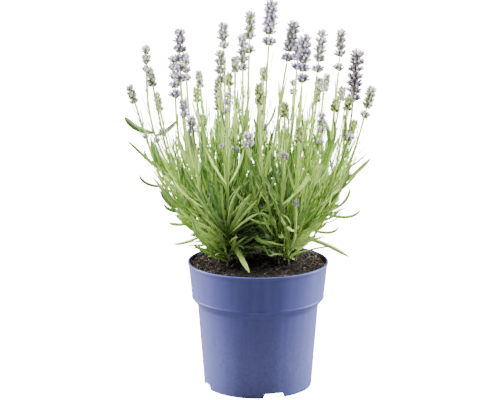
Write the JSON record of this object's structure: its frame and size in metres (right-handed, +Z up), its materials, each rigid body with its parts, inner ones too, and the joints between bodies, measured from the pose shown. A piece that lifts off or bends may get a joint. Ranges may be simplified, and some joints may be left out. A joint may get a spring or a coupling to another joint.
{
  "type": "potted lavender",
  "caption": "Lavender plant in flower, with narrow leaves and long-stalked flower spikes, growing in a round tapered plastic nursery pot.",
  "frame": {"origin": "centre of the pot's foot pad, on the plane that the pot stands on", "axes": "+Z up through the plant, -Y towards the side that the picture shows, +X to the right in the picture"},
  "size_m": [0.2284, 0.1734, 0.3572],
  "materials": {
    "pot_plastic": "satin periwinkle blue",
    "potting_soil": "moist dark brown peat",
    "stem_and_leaf": "matt leaf green",
    "flower_bud": "matt grey green",
    "flower_half_open": "matt grey lilac",
    "flower_open": "matt violet"
  },
  "bodies": {
    "root": {"pot": "pot_plastic", "soil": "potting_soil", "stem_left_front": "stem_and_leaf", "spike_left_front_1": "flower_half_open", "spike_left_front_2": "flower_half_open", "spike_left_front_3": "flower_half_open", "stem_left_outer": "stem_and_leaf", "spike_left_outer_1": "flower_bud", "spike_left_outer_2": "flower_bud", "spike_left_outer_3": "flower_open", "stem_left_side": "stem_and_leaf", "spike_left_side_1": "flower_half_open", "spike_left_side_2": "flower_bud", "spike_left_side_3": "flower_open", "stem_left_back": "stem_and_leaf", "spike_left_back_1": "flower_half_open", "spike_left_back_2": "flower_bud", "spike_left_back_3": "flower_bud", "stem_left_inner": "stem_and_leaf", "spike_left_inner_1": "flower_half_open", "spike_left_inner_2": "flower_bud", "spike_left_inner_3": "flower_half_open", "spike_left_inner_4": "flower_open", "stem_back_left": "stem_and_leaf", "spike_back_left_1": "flower_bud", "spike_back_left_2": "flower_half_open", "spike_back_left_3": "flower_bud", "stem_back_middle": "stem_and_leaf", "spike_back_middle_1": "flower_half_open", "spike_back_middle_2": "flower_half_open", "spike_back_middle_3": "flower_open", "spike_back_middle_4": "flower_half_open", "stem_back_right": "stem_and_leaf", "spike_back_right_1": "flower_bud", "spike_back_right_2": "flower_half_open", "spike_back_right_3": "flower_open", "stem_back_outer": "stem_and_leaf", "spike_back_outer_1": "flower_bud", "spike_back_outer_2": "flower_bud", "spike_back_outer_3": "flower_bud", "stem_right_front": "stem_and_leaf", "spike_right_front_1": "flower_bud", "spike_right_front_2": "flower_half_open", "spike_right_front_3": "flower_bud", "stem_right_low": "stem_and_leaf", "spike_right_low_1": "flower_bud", "spike_right_low_2": "flower_half_open", "spike_right_low_3": "flower_half_open", "stem_right_inner": "stem_and_leaf", "spike_right_inner_1": "flower_open", "spike_right_inner_2": "flower_half_open", "stem_right_outer": "stem_and_leaf", "spike_right_outer_1": "flower_bud", "spike_right_outer_2": "flower_bud", "spike_right_outer_3": "flower_open", "stem_right_side": "stem_and_leaf", "spike_right_side_1": "flower_half_open", "spike_right_side_2": "flower_half_open", "spike_right_side_3": "flower_bud"}
  },
  "joints": []
}
